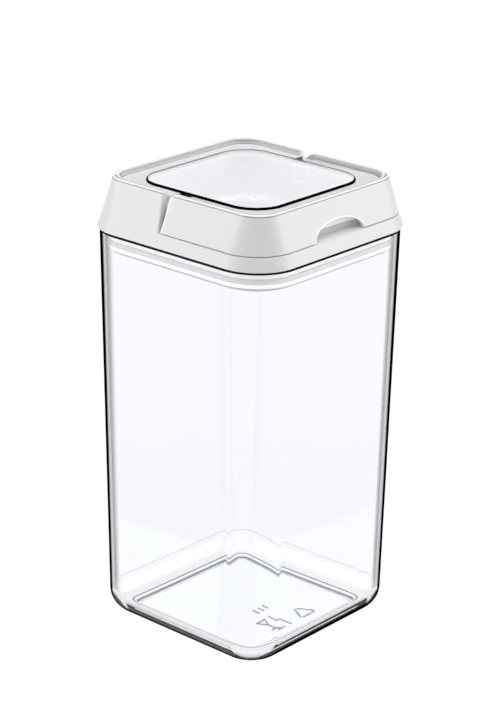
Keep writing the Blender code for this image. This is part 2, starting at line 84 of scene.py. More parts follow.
def rounded_square(half, radius, z):
    """Points of a square outline with rounded corners, counter-clockwise from above."""
    points = []
    for quarter in range(4):
        middle = math.radians(45 + 90 * quarter)
        centre_x = math.copysign(half - radius, math.cos(middle))
        centre_y = math.copysign(half - radius, math.sin(middle))
        for step in range(CORNER_STEPS + 1):
            angle = math.radians(90 * quarter + 90 * step / CORNER_STEPS)
            points.append((centre_x + radius * math.cos(angle), centre_y + radius * math.sin(angle), z))
    return points


def nested(arc_centre, profile):
    """Stations from (half width, height) pairs whose corner arcs share a centre."""
    return [(half, half - arc_centre, z) for half, z in profile]


def soften(section, size, closed=True, steps=5):
    """The section with every corner rounded: size is how far along its edges each corner starts."""
    count = len(section)
    softened = []
    for i, corner in enumerate(section):
        if not closed and i in (0, count - 1):
            softened.append(Vector(corner))
            continue
        here, before, after = Vector(corner), Vector(section[i - 1]), Vector(section[(i + 1) % count])
        start = here.lerp(before, min(0.45, size / max((before - here).length, 1e-6)))
        end = here.lerp(after, min(0.45, size / max((after - here).length, 1e-6)))
        for k in range(steps + 1):
            t = k / steps
            softened.append(start.lerp(here, t).lerp(here.lerp(end, t), t))
    return [tuple(point) for point in softened]


def bridge(bm, first, second, slots=0, closed=True):
    """Quads between two loops of as many vertices. slots is a material index, or one for each quad."""
    count = len(first)
    for i in range(count if closed else count - 1):
        j = (i + 1) % count
        face = bm.faces.new((first[i], first[j], second[j], second[i]))
        face.material_index = slots if isinstance(slots, int) else slots[i]


def add_loop(bm, points):
    return [bm.verts.new(Vector(point) * MM) for point in points]


def finish_mesh(name, bm, *materials, sharp=35):
    bmesh.ops.recalc_face_normals(bm, faces=bm.faces)
    mesh = bpy.data.meshes.new(name)
    bm.to_mesh(mesh)
    bm.free()
    mesh.shade_smooth()
    mesh.set_sharp_from_angle(angle=math.radians(sharp))
    for material in materials:
        mesh.materials.append(material)
    obj = bpy.data.objects.new(name, mesh)
    bpy.context.scene.collection.objects.link(obj)
    return obj


def flat_rim(station):
    """A station just inside an end station, so that the flat cap keeps its own shading."""
    half, radius, z = station
    return (half - 1.0, max(radius - 1.0, 1.0), z)


def loft_solid(name, runs, *materials):
    """A solid through stations, with flat ends. Each run is (material index, stations)."""
    section = [station for _, stations in runs for station in stations]
    slots = [slot for slot, stations in runs for _ in stations]
    section = [flat_rim(section[0])] + section + [flat_rim(section[-1])]
    slots = [slots[0]] + slots + [slots[-1]]
    bm = bmesh.new()
    loops = [add_loop(bm, rounded_square(*station)) for station in section]
    for low, high, slot in zip(loops, loops[1:], slots[1:]):
        bridge(bm, low, high, slot)
    bm.faces.new(loops[0]).material_index = slots[0]
    bm.faces.new(loops[-1]).material_index = slots[-1]
    return finish_mesh(name, bm, *materials)


def loft_ring(name, section, *materials):
    bm = bmesh.new()
    loops = [add_loop(bm, rounded_square(*station)) for station in section]
    for low, high in zip(loops, loops[1:] + loops[:1]):
        bridge(bm, low, high)
    return finish_mesh(name, bm, *materials)


def box_mesh(bm, x, y, z):
    """A box between two values on each axis."""
    bottom = add_loop(bm, [(x[0], y[0], z[0]), (x[1], y[0], z[0]), (x[1], y[1], z[0]), (x[0], y[1], z[0])])
    top = add_loop(bm, [(x[0], y[0], z[1]), (x[1], y[0], z[1]), (x[1], y[1], z[1]), (x[0], y[1], z[1])])
    bridge(bm, bottom, top)
    bm.faces.new(bottom)
    bm.faces.new(top)


def cut_box(obj, name, x, y, z, *materials):
    """Cuts a box, mirrored to both sides of the middle, out of a piece: the cut takes the material."""
    for side, label in ((-1, "left"), (1, "right")):
        bm = bmesh.new()
        box_mesh(bm, sorted((side * x[0], side * x[1])), y, z)
        cutter = finish_mesh(f"{name}_{label}", bm, *materials)
        cutter.hide_render = True
        cutter.display_type = "WIRE"
        modifier = obj.modifiers.new(cutter.name, "BOOLEAN")
        modifier.operation = "DIFFERENCE"
        modifier.material_mode = "TRANSFER" if materials else "INDEX"
        modifier.object = cutter


def keep_cuts(obj):
    """Makes the cuts part of the piece's own mesh, so that they move with it."""
    cutters = [modifier.object for modifier in obj.modifiers]
    evaluated = obj.evaluated_get(bpy.context.evaluated_depsgraph_get())
    mesh = bpy.data.meshes.new_from_object(evaluated)
    obj.modifiers.clear()
    obj.data = mesh
    for cutter in cutters:
        bpy.data.objects.remove(cutter)
    return obj


# ---------------------------------------------------------------- materials

def new_material(name):
    material = bpy.data.materials.new(name)
    material.use_nodes = True
    tree = material.node_tree
    tree.nodes.clear()
    output = tree.nodes.new("ShaderNodeOutputMaterial")
    return material, tree, output


def add_node(tree, kind, **values):
    """A node of a kind, with its inputs set by name: spaces are written as underscores."""
    node = tree.nodes.new(kind)
    for key, value in values.items():
        node.inputs[key.replace("_", " ")].default_value = value
    return node


def moulded_bump(tree, scale, strength):
    """A very fine orange-peel, as on moulded plastic."""
    place = tree.nodes.new("ShaderNodeTexCoord")
    grain = add_node(tree, "ShaderNodeTexNoise", Scale=scale, Detail=3.0)
    bump = add_node(tree, "ShaderNodeBump", Strength=strength, Distance=0.0002)
    tree.links.new(place.outputs["Object"], grain.inputs["Vector"])
    tree.links.new(grain.outputs["Fac"], bump.inputs["Height"])
    return grain, bump


def opaque_plastic(name, colour, roughness, glow=0.0):
    """Moulded plastic. glow stands in for the light that comes through a thin white wall."""
    material, tree, output = new_material(name)
    shader = add_node(tree, "ShaderNodeBsdfPrincipled", Base_Color=(*colour, 1.0), Roughness=roughness, IOR=1.49)
    shader.inputs["Subsurface Weight"].default_value = 0.08
    shader.inputs["Subsurface Radius"].default_value = (1.0, 0.9, 0.8)
    shader.inputs["Subsurface Scale"].default_value = 0.001
    shader.inputs["Emission Color"].default_value = (*colour, 1.0)
    shader.inputs["Emission Strength"].default_value = glow
    grain, bump = moulded_bump(tree, 900.0, 0.05)
    tree.links.new(bump.outputs["Normal"], shader.inputs["Normal"])
    spread = add_node(tree, "ShaderNodeMapRange", To_Min=roughness - 0.04, To_Max=roughness + 0.05)
    tree.links.new(grain.outputs["Fac"], spread.inputs["Value"])
    tree.links.new(spread.outputs["Result"], shader.inputs["Roughness"])
    tree.links.new(shader.outputs["BSDF"], output.inputs["Surface"])
    return material


def link_math(tree, operation, first, second):
    """A math node over two values, each a socket or a number."""
    node = tree.nodes.new("ShaderNodeMath")
    node.operation = operation
    for number, value in enumerate((first, second)):
        if isinstance(value, (int, float)):
            node.inputs[number].default_value = value
        else:
            tree.links.new(value, node.inputs[number])
    return node.outputs["Value"]


def ramp(tree, value, start, end, low, high):
    """Goes smoothly from low to high as a value goes from start to end."""
    node = add_node(tree, "ShaderNodeMapRange", From_Min=start, From_Max=end, To_Min=low, To_Max=high)
    node.interpolation_type = "SMOOTHSTEP"
    tree.links.new(value, node.inputs["Value"])
    return node.outputs["Result"]


HIGH_SHADE = 0.995
LOW_SHADE = 0.985


def wall_shade(tree, low_value):
    """HIGH_SHADE on the upper wall, down to low_value at the wall's foot, and 1 on the base's round."""
    place = tree.nodes.new("ShaderNodeTexCoord")
    split = tree.nodes.new("ShaderNodeSeparateXYZ")
    tree.links.new(place.outputs["Object"], split.inputs["Vector"])
    wall = ramp(tree, split.outputs["Z"], 0.012, 0.11, low_value, HIGH_SHADE)
    base = ramp(tree, split.outputs["Z"], 0.010, 0.0115, 1.0, 0.0)
    return link_math(tree, "MAXIMUM", wall, base)


def level(tree, vector):
    """A direction turned into the horizontal plane."""
    flat = tree.nodes.new("ShaderNodeVectorMath")
    flat.operation = "MULTIPLY"
    flat.inputs[1].default_value = (1, 1, 0)
    tree.links.new(vector, flat.inputs[0])
    unit = tree.nodes.new("ShaderNodeVectorMath")
    unit.operation = "NORMALIZE"
    tree.links.new(flat.outputs["Vector"], unit.inputs[0])
    return unit.outputs["Vector"]


def facing_in_plan(tree):
    """The facing ratio as seen from straight above, so that a wall stays clear when it is seen from high up."""
    geometry = tree.nodes.new("ShaderNodeNewGeometry")
    dot = tree.nodes.new("ShaderNodeVectorMath")
    dot.operation = "DOT_PRODUCT"
    tree.links.new(level(tree, geometry.outputs["Normal"]), dot.inputs[0])
    tree.links.new(level(tree, geometry.outputs["Incoming"]), dot.inputs[1])
    size = add_node(tree, "ShaderNodeMath")
    size.operation = "ABSOLUTE"
    tree.links.new(dot.outputs["Value"], size.inputs[0])
    turned = tree.nodes.new("ShaderNodeMath")
    turned.operation = "SUBTRACT"
    turned.inputs[0].default_value = 1.0
    tree.links.new(size.outputs["Value"], turned.inputs[1])
    return turned.outputs["Value"]


def clear_plastic(name, outside, inside=None, tint=(0.985, 0.99, 1.0), low_shade=1.0, front_bias=0.0, upright=False):
    """Clear plastic that darkens towards grazing view, in painted shade that stands in for the dark its edges refract.

    outside and inside are (start, end, edge), for light that meets the surface from the air and from
    within the plastic: it darkens from start to end of the facing ratio, down to edge. front_bias is
    added to the ratio on surfaces that face the front, which paints more shade on them.
    """
    material, tree, output = new_material(name)
    if upright:
        facing = facing_in_plan(tree)
    else:
        facing = add_node(tree, "ShaderNodeLayerWeight", Blend=0.5).outputs["Facing"]
    if front_bias:
        split = tree.nodes.new("ShaderNodeSeparateXYZ")
        tree.links.new(tree.nodes.new("ShaderNodeNewGeometry").outputs["Normal"], split.inputs["Vector"])
        facing = link_math(tree, "ADD", facing, ramp(tree, split.outputs["Y"], -0.05, -0.25, 0.0, front_bias))
    start, end, edge = outside
    fall = ramp(tree, facing, start, end, 1.0, edge)
    if inside:
        start, end, edge = inside
        within = ramp(tree, facing, start, end, 1.0, edge)
        choose = tree.nodes.new("ShaderNodeMix")
        tree.links.new(tree.nodes.new("ShaderNodeNewGeometry").outputs["Backfacing"], choose.inputs["Factor"])
        tree.links.new(fall, choose.inputs["A"])
        tree.links.new(within, choose.inputs["B"])
        fall = choose.outputs["Result"]
    if low_shade < 1:
        fall = link_math(tree, "MULTIPLY", fall, wall_shade(tree, low_shade))
    colour = tree.nodes.new("ShaderNodeVectorMath")
    colour.operation = "SCALE"
    colour.inputs[0].default_value = tint
    tree.links.new(fall, colour.inputs["Scale"])
    glass = add_node(tree, "ShaderNodeBsdfGlass", Roughness=0.0, IOR=1.5)
    tree.links.new(colour.outputs["Vector"], glass.inputs["Color"])
    through = add_node(tree, "ShaderNodeBsdfTransparent", Color=(0.95, 0.95, 0.95, 1.0))
    light_path = tree.nodes.new("ShaderNodeLightPath")
    either = link_math(tree, "MAXIMUM", light_path.outputs["Is Shadow Ray"], light_path.outputs["Is Diffuse Ray"])
    mix = tree.nodes.new("ShaderNodeMixShader")
    tree.links.new(either, mix.inputs["Fac"])
    tree.links.new(glass.outputs["BSDF"], mix.inputs[1])
    tree.links.new(through.outputs["BSDF"], mix.inputs[2])
    tree.links.new(mix.outputs["Shader"], output.inputs["Surface"])
    return material


ALWAYS = (-1.0, 0.0)        # painted shade: a darkening that holds at every angle

WHITE = opaque_plastic("white_plastic_satin", (0.83, 0.83, 0.83), 0.32)
# painted shade: a dark grey for the thin shaded lines along the rim's crest
WHITE_SHADE_LINE = opaque_plastic("white_plastic_painted_shade_line", (0.40, 0.405, 0.41), 0.32)
# painted light: the glow of the white pieces in the well and in the jar's mouth
WHITE_WELL_GLOW = opaque_plastic("white_plastic_well_painted_glow", (0.90, 0.905, 0.92), 0.40, glow=0.45)
# painted light: a weaker glow for the plug skirt
WHITE_SKIRT_GLOW = opaque_plastic("white_plastic_skirt_painted_glow", (0.90, 0.905, 0.91), 0.40, glow=0.25)
WHITE_GLINT = opaque_plastic("white_plastic_glint", (0.93, 0.93, 0.94), 0.32, glow=0.22)
# painted light: the deck is the same white plastic, made lighter
WHITE_DECK_LIT = opaque_plastic("white_plastic_deck_painted_light", (0.88, 0.88, 0.885), 0.32)
# painted highlight: the crest's top, lighter and with a faint glow
WHITE_CREST_HIGHLIGHT = opaque_plastic("white_plastic_crest_painted_highlight", (0.92, 0.92, 0.925), 0.32, glow=0.1)
# painted shade along the crest's inner edge
INNER_CREASE_SHADE = opaque_plastic("white_plastic_crease_painted_shade", (0.56, 0.565, 0.57), 0.32)
# painted light on the finger pocket's floor and the face of its lip
WHITE_POCKET_LIT = opaque_plastic("white_plastic_pocket_painted_light", (0.83, 0.835, 0.85), 0.40, glow=0.12)
# painted shade on the finger pocket's wall
POCKET_WALL_SHADE = opaque_plastic("white_plastic_pocket_wall_painted_shade", (0.62, 0.625, 0.64), 0.40)
SHADE_GREY = opaque_plastic("white_plastic_in_shade", (0.36, 0.365, 0.37), 0.5)
DEEP_GREY = opaque_plastic("white_plastic_in_deep_shade", (0.12, 0.12, 0.125), 0.5)
# painted light: the gasket's pale silicone with a faint glow
SILICONE_GLOW = opaque_plastic("silicone_pale_painted_glow", (0.74, 0.74, 0.745), 0.45, glow=0.2)
# The clear materials darken in painted shade; those that darken at every angle paint the dark rim, edges and lines.
CLEAR_OUTER = clear_plastic("clear_outer", (0.59, 0.676, 0.0), low_shade=LOW_SHADE, upright=True)
CLEAR_INNER = clear_plastic(
    "clear_inner", (0.374, 1.0, 0.35), (0.137, 0.225, 0.62), low_shade=LOW_SHADE, upright=True
)
CLEAR_BASE_OUTER = clear_plastic("clear_base_outer", (0.62, 0.77, 0.0), front_bias=0.07)
CLEAR_BASE_INNER = clear_plastic("clear_base_inner", (0.1, 0.63, 0.9))
CLEAR_BASE_SHADE_LINE = clear_plastic("clear_base_painted_shade_line", (*ALWAYS, 0.8), inside=(2.0, 3.0, 1.0))
CLEAR_FLOOR = clear_plastic("clear_floor", (0.8, 1.0, 0.6))
# painted shade: the lower plate's edge is an opaque grey for the dark line it shows
PLATE_EDGE_SHADE = opaque_plastic("clear_plastic_edge_painted_shade", (0.60, 0.605, 0.61), 0.5)
CLEAR_FLOOR_EDGE_SHADE = clear_plastic("clear_floor_edge_painted_shade", (*ALWAYS, 0.22))
CLEAR_RIM_SHADE = clear_plastic("clear_rim_painted_shade", (*ALWAYS, 0.015))
CLEAR_BEVEL_SHADE = clear_plastic("clear_bevel_painted_shade", (*ALWAYS, 0.05))
CLEAR_SIDE_SHADE = clear_plastic("clear_side_painted_shade", (*ALWAYS, 0.35))
CLEAR_FLAT = clear_plastic("clear_flat", (0.8, 1.0, 0.6))
CLEAR_FOOT = clear_plastic("clear_foot", (0.3, 0.8, 0.3))
CLEAR_SHADE_LINE = clear_plastic("clear_painted_shade_line", (*ALWAYS, 0.45))
CLEAR_FAINT_SHADE_LINE = clear_plastic("clear_faint_painted_shade_line", (*ALWAYS, 0.6))
CLEAR_MARK_SHADE = clear_plastic("clear_mark_painted_shade", (*ALWAYS, 0.5))


# ---------------------------------------------------------------- jar

JAR_HALF_TOP = 52.5
JAR_HALF_BASE = 48.5
JAR_HEIGHT = 184.4
JAR_RADIUS_TOP = 20.9
JAR_RADIUS_BASE = 15.8
JAR_WALL = 2.4
JAR_FILLET = 10.5
JAR_FLOOR = 3.6
JAR_FLOOR_RADIUS = 7.4
FOOT_ARC = 30.4
PANEL_RISE = 0.7
RIM_EDGE = 183.5           # above this height the rim gathers the light and looks dark: it is painted nearly black, as shade
FLOOR_LINE_WIDTH = 0.9      # of the line of painted shade along the edge of the jar's floor
BASE_LINE_HEIGHT = 0.6      # of the faint line of painted shade at the top of the base's inner round
FOOT_LINES = ((34.0, 34.9), (37.3, 37.9))    # half widths between which the foot's edges catch dark, in painted shade
MARK_WIDTH = 0.9
MARK_HEIGHT = 0.35


def jar_station(z, inward=0.0):
    """A station of the tapered wall at a height, drawn inward from its outside."""
    share = z / JAR_HEIGHT
    half = JAR_HALF_BASE + (JAR_HALF_TOP - JAR_HALF_BASE) * share - inward
    radius = JAR_RADIUS_BASE + (JAR_RADIUS_TOP - JAR_RADIUS_BASE) * share - inward
    return (half, radius, z)


def fillet(low, high, steps=14):
    """Stations of a quarter-round between a floor outline and a wall outline, floor first."""
    stations = []
    for k in range(steps + 1):
        turn = math.pi / 2 * k / steps
        half = low[0] + (high[0] - low[0]) * math.sin(turn)
        radius = low[1] + (high[1] - low[1]) * math.sin(turn)
        stations.append((half, radius, low[2] + (high[2] - low[2]) * (1 - math.cos(turn))))
    return stations


def make_jar():
    inner_foot = jar_station(JAR_FILLET + 1.0, JAR_WALL)
    floor_half = inner_foot[0] - (inner_foot[2] - JAR_FLOOR)
    floor_edge = (floor_half, JAR_FLOOR_RADIUS, JAR_FLOOR)
    (inner_line, inner_end), (outer_line, outer_end) = FOOT_LINES
    panel = nested(FOOT_ARC, [(33.0, PANEL_RISE), (inner_line, PANEL_RISE)])
    panel_line = nested(FOOT_ARC, [(inner_end, PANEL_RISE)])
    step = [(inner_end, PANEL_RISE), (35.4, PANEL_RISE), (37.0, 0.0), (outer_line, 0.0)]
    step = soften(nested(FOOT_ARC, step), 0.5, closed=False)[1:]
    foot_line = nested(FOOT_ARC, [(outer_end, 0.0)])
    foot = nested(FOOT_ARC, [(38.6, 0.0)])
    outer_fillet = fillet(foot[-1], jar_station(JAR_FILLET))[1:]
    outside = [jar_station(RIM_EDGE)]
    rim = soften(
        [
            jar_station(RIM_EDGE),
            jar_station(JAR_HEIGHT),
            jar_station(JAR_HEIGHT, JAR_WALL),
            jar_station(RIM_EDGE, JAR_WALL),
        ],
        0.5,
        closed=False,
    )
    line_top = jar_station(inner_foot[2] + BASE_LINE_HEIGHT, JAR_WALL)
    inner_fillet = list(reversed(fillet(floor_edge, inner_foot)))
    edge_line = (floor_half - FLOOR_LINE_WIDTH, JAR_FLOOR_RADIUS - FLOOR_LINE_WIDTH, JAR_FLOOR)
    # the rim and the lines along the foot, the base's round and the floor's edge are painted shade
    runs = [
        (3, panel),
        (5, panel_line),
        (3, step),
        (5, foot_line),
        (3, foot),
        (6, outer_fillet),
        (0, outside),
        (2, rim[1:]),
        (1, [line_top]),
        (8, inner_fillet[:1]),
        (7, inner_fillet[1:]),
        (10, [edge_line]),
        (9, [flat_rim(edge_line)]),
    ]
    materials = (
        CLEAR_OUTER,
        CLEAR_INNER,
        CLEAR_RIM_SHADE,
        CLEAR_FOOT,
        CLEAR_SHADE_LINE,
        CLEAR_FAINT_SHADE_LINE,
        CLEAR_BASE_OUTER,
        CLEAR_BASE_INNER,
        CLEAR_BASE_SHADE_LINE,
        CLEAR_FLOOR,
        CLEAR_FLOOR_EDGE_SHADE,
    )
    return loft_solid("jar", runs, *materials)


def add_bar(bm, start, end):
    """A raised line under the floor, with a rounded-over face: it runs between two points, in X and Y."""
    direction = (Vector(end) - Vector(start)).normalized()
    across = Vector((-direction.y, direction.x))
    outlines = []
    for width, depth in ((MARK_WIDTH, 0.0), (MARK_WIDTH, 0.7 * MARK_HEIGHT), (0.6 * MARK_WIDTH, MARK_HEIGHT)):
        reach = direction * width / 2
        aside = across * width / 2
        a, b = Vector(start) - reach, Vector(end) + reach
        corners = (a - aside, b - aside, b + aside, a + aside)
        outlines.append([(point.x, point.y, PANEL_RISE - 0.02 - depth) for point in corners])
    loops = [add_loop(bm, outline) for outline in outlines]
    for low, high in zip(loops, loops[1:]):
        bridge(bm, low, high)
    bm.faces.new(loops[0])
    bm.faces.new(loops[-1])


def make_floor_marks():
    """Plain marks: a triangle of three bars, a goblet beside a bar, and three short dashes."""
    left, right, apex = Vector((4.9, -28.6)), Vector((15.2, -28.6)), Vector((10.0, -19.6))
    gap = 0.14
    bars = [(a.lerp(b, gap), a.lerp(b, 1 - gap)) for a, b in ((left, right), (right, apex), (apex, left))]
    stem_top, stem_foot = (-9.2, -23.6), (-9.2, -28.6)
    rim_left, rim_right = (-12.2, -18.6), (-6.2, -18.6)
    bars += [(rim_left, rim_right), (rim_left, stem_top), (rim_right, stem_top), (stem_top, stem_foot)]
    bars += [((-11.4, -28.6), (-7.0, -28.6)), ((-2.6, -18.6), (-2.6, -28.6))]
    bars += [((x, -8.8), (x, -12.4)) for x in (-3.4, 0.2, 3.8)]
    bm = bmesh.new()
    for start, end in bars:
        add_bar(bm, start, end)
    # the marks are darkened clear plastic: painted shade
    return finish_mesh("floor_marks", bm, CLEAR_MARK_SHADE)


# ---------------------------------------------------------------- sweeps round the lid

END_SHIFTS = (0.0, 0.06, 0.18, 0.4, 0.9, 2.0, 4.0, 7.0)
SIDE_STEPS = (18.0, 24.0, 31.5)


def clamp(value, limit):
    return max(-limit, min(limit, value))


def on_side(sign, y_of_z):
    """A place on the left or right side, kept to the straight part of each outline."""
    return lambda half, radius, z: (sign * half, clamp(y_of_z(z), half - radius))


def on_arc(angle):
    """A place on a corner's arc: the angle, in radians, says which corner."""
    cos, sin = math.cos(angle), math.sin(angle)
    middle = math.floor(angle / (math.pi / 2) + 1e-9) * math.pi / 2 + math.pi / 4
    sx, sy = math.copysign(1, math.cos(middle)), math.copysign(1, math.sin(middle))
    return lambda half, radius, z: (sx * (half - radius) + radius * cos, sy * (half - radius) + radius * sin)


def on_face(x, sign):
    return lambda half, radius, z: (clamp(x, half - radius), sign * half)


def arc_places(start):
    """The inner places of a quarter turn that starts at an angle in degrees."""
    return [on_arc(math.radians(start + 90 * (k + 0.5) / CORNER_STEPS)) for k in range(CORNER_STEPS)]


def half_ring_places(end_of_z, sign, face_x):
    """Places along a half ring, counter-clockwise: sign -1 is the front half and 1 the rear half.

    Its two ends follow end_of_z, a height's Y, and face_x gives the places along its far face.
    """
    def straight(side):
        places = [on_side(side, lambda z, d=d: end_of_z(z) + sign * d) for d in END_SHIFTS]
        return places + [on_side(side, lambda z, y=y: sign * y) for y in SIDE_STEPS]

    first, last = straight(sign), list(reversed(straight(-sign)))
    corners = (0, 90) if sign > 0 else (180, 270)
    far_face = [on_face(sign * -x, sign) for x in face_x]
    return first + arc_places(corners[0]) + far_face + arc_places(corners[1]) + last


def inset(section, amount):
    """The closed section drawn in by an amount in its own plane."""
    count = len(section)
    area = sum(
        section[i - 1][0] * section[i][2] - section[i][0] * section[i - 1][2] for i in range(count)
    )
    turned = math.copysign(1, area)
    drawn = []
    for i, (half, radius, z) in enumerate(section):
        before, after = section[i - 1], section[(i + 1) % count]
        run, rise = after[0] - before[0], after[2] - before[2]
        length = math.hypot(run, rise) or 1.0
        shift = -turned * rise / length * amount
        drawn.append((half + shift, radius + shift, z + turned * run / length * amount))
    return drawn


def end_insets(round_off):
    """How far each place near an end is drawn in, for an edge rounded to round_off."""
    insets = []
    for shift in END_SHIFTS:
        reach = max(0.0, 1 - shift / round_off)
        insets.append(round_off * (1 - math.sqrt(1 - reach * reach)))
    return insets


CREST_LINE = (0.65, 1.15)    # depth, below the crest, of the line of painted shade along its outer edge
CREST_TOP_LINE = (44.25, 44.75)    # half widths of the faint line of painted shade where its rounding ends on top
CREST_INNER_LINE = 43.5      # half width of the line of painted shade along the crest's inner edge


def crest(bottom, inner_top):
    """The sloping outside and the rounded crest of the rim."""
    shoulder = Vector((45.5, 11.0, CREST_TOP - CREST_LINE[0]))
    share = 1 - (CREST_LINE[1] - CREST_LINE[0]) / (shoulder.z - bottom[2])
    outside = [
        bottom,
        tuple(Vector(bottom).lerp(shoulder, share)),
        tuple(shoulder),
        (45.2, 10.9, CREST_TOP - 0.3),
        (CREST_TOP_LINE[1], 10.8, CREST_TOP),
        (CREST_TOP_LINE[0], 11.0, CREST_TOP),
        (43.6, 11.2, CREST_TOP),
        (43.1, 10.8, CREST_TOP - 0.3),
        (42.9, 10.7, CREST_TOP - 0.9),
    ]
    return outside + inner_top


def crest_slots(section, near_camera, closed=True):
    """Material index of each strip of a rim's section, in the order of RIM_MATERIALS: painted shade along the crest's
    edges and a painted highlight on its top.

    The line of painted shade on top of the crest is put on the sides near the camera only.
    """
    slots = []
    for low, high in zip(section, section[1:] + section[:1] if closed else section[1:]):
        half, depth = (low[0] + high[0]) / 2, CREST_TOP - (low[2] + high[2]) / 2
        slot = 0
        if half > 45 and CREST_LINE[0] < depth < CREST_LINE[1]:
            slot = 1
        elif 42.8 < half < CREST_INNER_LINE and depth < CREST_TOP - DECK_TOP:
            slot = 2
        elif half > 43 and depth < CREST_LINE[0]:
            slot = 1 if near_camera and CREST_TOP_LINE[0] < half < CREST_TOP_LINE[1] else 3
        slots.append(slot)
    return slots


RIM_MATERIALS = (WHITE, WHITE_SHADE_LINE, INNER_CREASE_SHADE, WHITE_CREST_HIGHLIGHT, WHITE_GLINT, WHITE_SKIRT_GLOW)


def is_near_camera(vertex):
    return vertex.co.x + vertex.co.y < 0


# ---------------------------------------------------------------- lever

LEVER_REAR_Y = 5.6          # where the lever ends, at its foot, and where its round corner starts
LEVER_REAR_TOP_Y = 7.0
LEVER_END_RADIUS = 6.3
NOTCH_HALF = 15.7
NOTCH_HEIGHT = 6.9
NOTCH_TOP_LIMIT = DECK_TOP - 1.5
CHEEK_X = (42.9, 44.6)
GLINT_STRIPS = 4            # strips of the mesh, from each end of the lever, that catch the light in a painted highlight


def lever_end(z):
    """Y of the lever's end at a height: it leans back a little, up to a round top corner."""
    arc_z = CREST_TOP - LEVER_END_RADIUS
    share = min(1.0, max(0.0, (z - LEVER_BOTTOM) / (arc_z - LEVER_BOTTOM)))
    leaning = LEVER_REAR_Y + (LEVER_REAR_TOP_Y - LEVER_REAR_Y) * share
    rise = min(1.0, max(0.0, (z - arc_z) / LEVER_END_RADIUS))
    return leaning - LEVER_END_RADIUS * (1 - math.sqrt(1 - rise * rise))


def notch_rise(x, roundness=2.0):
    """How far the lever's lower edge is lifted over the finger notch."""
    if abs(x) >= NOTCH_HALF:
        return 0.0
    return NOTCH_HEIGHT * (1 - abs(x / NOTCH_HALF) ** roundness) ** (1 / roundness)


def lifted(section, rise):
    """The lever's section with its lower edge lifted, keeping to the same sloping faces."""
    slope = (45.5 - 51.05) / (CREST_TOP - CREST_LINE[0] - LEVER_BOTTOM)
    moved = []
    for half, radius, z in section:
        share = max(0.0, (NOTCH_TOP_LIMIT - z) / (NOTCH_TOP_LIMIT - LEVER_BOTTOM))
        moved.append((half + slope * rise * share, radius, z + rise * share))
    return moved


def make_lever():
    inner_top = [(42.9, 10.7, DECK_TOP - 1.0), (44.4, 11.4, DECK_TOP - 1.0), (48.95, 16.7, LEVER_BOTTOM)]
    outside = crest((51.05, 18.8, LEVER_BOTTOM), inner_top)
    hem = tuple(Vector(outside[0]).lerp(outside[1], 0.06))
    section = soften([outside[0], hem] + outside[1:], 0.35)
    slots = [crest_slots(section, near) for near in (False, True)]
    on_hem = [low[2] < hem[2] and low[0] > 50 for low in section]
    notch_steps = 28
    notch_x = [NOTCH_HALF * math.cos(math.pi * k / notch_steps) for k in range(notch_steps + 1)]
    face_x = sorted([-31.5, -24, -19, -16.2, -15.72, 15.72, 16.2, 19, 24, 31.5] + notch_x)
    places = half_ring_places(lever_end, -1, face_x)
    face_start = len(END_SHIFTS) + len(SIDE_STEPS) + CORNER_STEPS
    rises = {face_start + k: notch_rise(x) for k, x in enumerate(face_x)}
    insets = end_insets(0.7)
    bm = bmesh.new()
    loops = []
    for number, place in enumerate(places):
        near_end = min(number, len(places) - 1 - number)
        shape = section
        if near_end < len(insets) and insets[near_end] > 0:
            shape = inset(section, insets[near_end])
        if rises.get(number):
            shape = lifted(section, rises[number])
        loops.append(add_loop(bm, [(*place(half, radius, z), z) for half, radius, z in shape]))
    for number, (first, second) in enumerate(zip(loops, loops[1:])):
        strip_slots = slots[is_near_camera(first[0])]
        if min(number, len(places) - 2 - number) < GLINT_STRIPS:
            strip_slots = [4] * len(section)
        # the hem over the finger notch gets the painted highlight too
        elif rises.get(number) or rises.get(number + 1):
            strip_slots = [4 if hemmed else slot for hemmed, slot in zip(on_hem, strip_slots)]
        bridge(bm, first, second, strip_slots)
    for end in (loops[0], loops[-1]):
        cap = bm.faces.new(end)
        bmesh.ops.triangulate(bm, faces=[cap], ngon_method="EAR_CLIP")
    return finish_mesh("lever", bm, *RIM_MATERIALS)


def make_lever_cheeks():
    """The cheeks with their pin bores and cam slots, taken from the model's lever where they show."""
    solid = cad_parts["lever_handle"]
    cheeks = bpy.data.objects.new("lever_cheeks", solid.data.copy())
    bpy.context.scene.collection.objects.link(cheeks)
    cheeks.matrix_world = solid.matrix_world
    cheeks.data.materials.clear()
    cheeks.data.materials.append(WHITE)
    bm = bmesh.new()
    for side in (-1, 1):
        box_mesh(bm, sorted((side * CHEEK_X[0] - side * 0.1, side * CHEEK_X[1] + side * 0.02)), (-12, 8), (193, 204.1))
    keep = finish_mesh("cheek_space", bm)
    keep.hide_render = True
    keep.display_type = "WIRE"
    modifier = cheeks.modifiers.new("cheek_space", "BOOLEAN")
    modifier.operation = "INTERSECT"
    modifier.object = keep
    return keep_cuts(cheeks)


# ---------------------------------------------------------------- lid frame

REAR_EDGE_FOOT = 7.0
REAR_EDGE_TOP = 9.3


def rear_end(z):
    """Y of the fixed rear half's end at a height: it leans back above the band."""
    lean = (REAR_EDGE_TOP - REAR_EDGE_FOOT) / (CREST_TOP - BAND_TOP)
    return REAR_EDGE_FOOT + lean * max(0.0, z - BAND_TOP)


def band_edge():
    """The band's sloping outside and its rounded upper edge, up to the lid's floor."""
    stations = [(53.1, 20.3, LID_BOTTOM), (51.15, 18.9, BAND_TOP), (49.0, 16.7, BAND_TOP)]
    return soften(stations, 0.3, closed=False)


